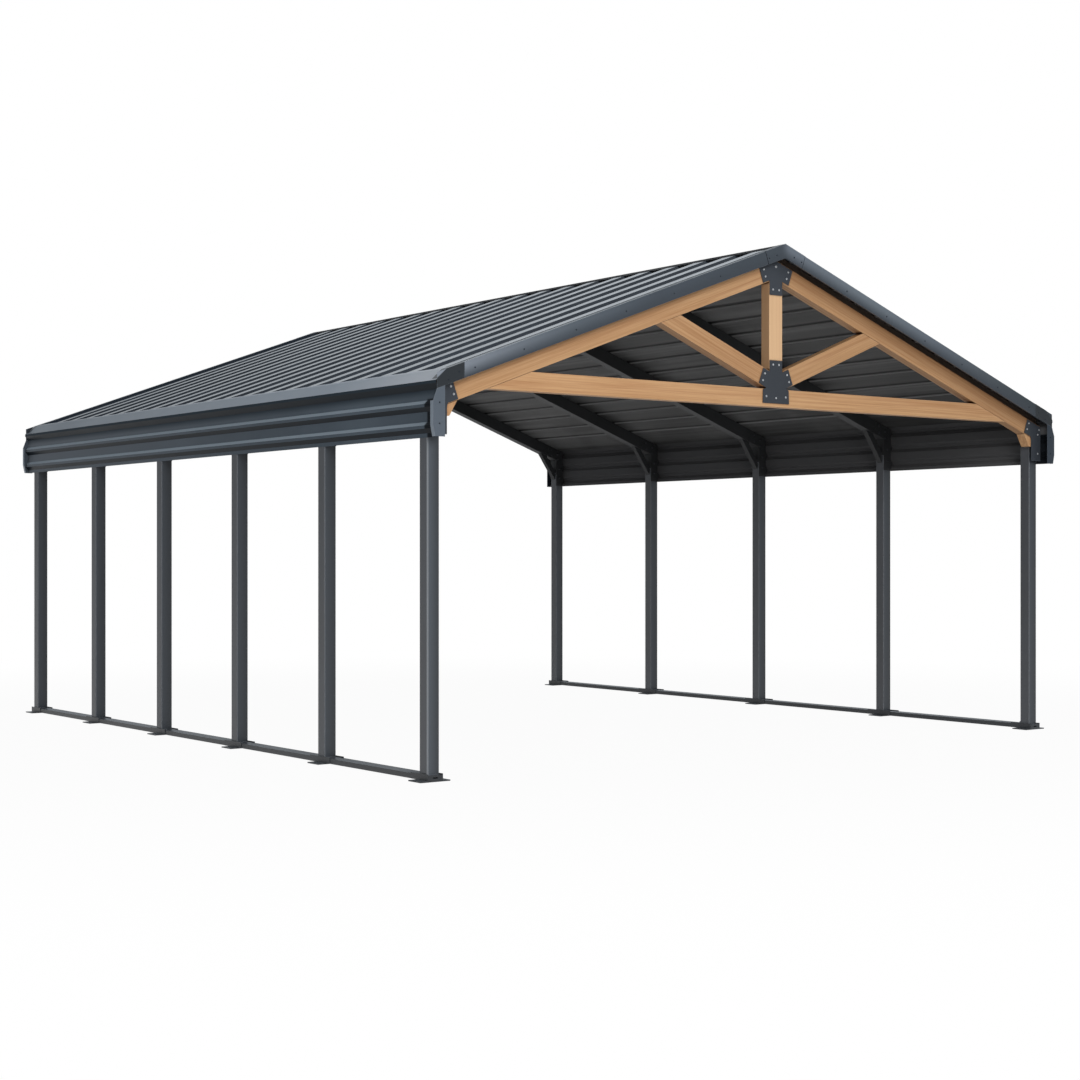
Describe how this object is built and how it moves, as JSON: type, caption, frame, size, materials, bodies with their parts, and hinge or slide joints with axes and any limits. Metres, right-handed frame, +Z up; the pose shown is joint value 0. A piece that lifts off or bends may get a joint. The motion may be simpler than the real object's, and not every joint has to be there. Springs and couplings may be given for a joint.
{
  "type": "carport",
  "caption": "Gable-roof carport with steel posts on base rails, a ribbed sheet roof with hanging eave skirts, and a bolted timber king-post truss across the front.",
  "frame": {"origin": "middle of the overall box at ground level", "axes": "+Z up, +Y from the front to the back, +X to the right as seen from the front"},
  "size_m": [6.024, 6.6724, 3.6176],
  "materials": {
    "frame_steel": "satin",
    "dark_steel": "satin",
    "underside": "satin",
    "roof_sheet": "satin",
    "plate_steel": "satin",
    "timber": "matte"
  },
  "bodies": {
    "root": {"left_post_1": "frame_steel", "left_post_2": "frame_steel", "left_post_3": "frame_steel", "left_post_4": "frame_steel", "left_post_5": "frame_steel", "left_post_6": "frame_steel", "right_post_1": "frame_steel", "right_post_2": "frame_steel", "right_post_3": "frame_steel", "right_post_4": "frame_steel", "right_post_5": "frame_steel", "left_base_rail": "frame_steel", "right_base_rail": "frame_steel", "left_base_plates": "frame_steel", "right_base_plates": "frame_steel", "left_rafters": "dark_steel", "right_rafters": "dark_steel", "ridge_beam": "dark_steel", "left_corner_brackets": "dark_steel", "right_corner_brackets": "dark_steel", "truss_left_rafter": "timber", "truss_right_rafter": "timber", "truss_tie_beam": "timber", "truss_king_post": "timber", "truss_left_strut": "timber", "truss_right_strut": "timber", "truss_corner_blocks": "timber", "apex_plate": "plate_steel", "hub_plate": "plate_steel", "corner_plates": "plate_steel", "left_roof_sheet": "roof_sheet", "right_roof_sheet": "roof_sheet", "left_ceiling_sheet": "underside", "right_ceiling_sheet": "underside", "ridge_cap": "roof_sheet", "left_eave_skirt": "roof_sheet", "right_eave_skirt": "roof_sheet", "front_left_rake_trim": "roof_sheet", "front_right_rake_trim": "roof_sheet", "rear_left_rake_trim": "roof_sheet", "rear_right_rake_trim": "roof_sheet", "front_apex_trim": "roof_sheet", "rear_apex_trim": "roof_sheet", "front_skirt_caps": "roof_sheet", "rear_skirt_caps": "roof_sheet"}
  },
  "joints": []
}
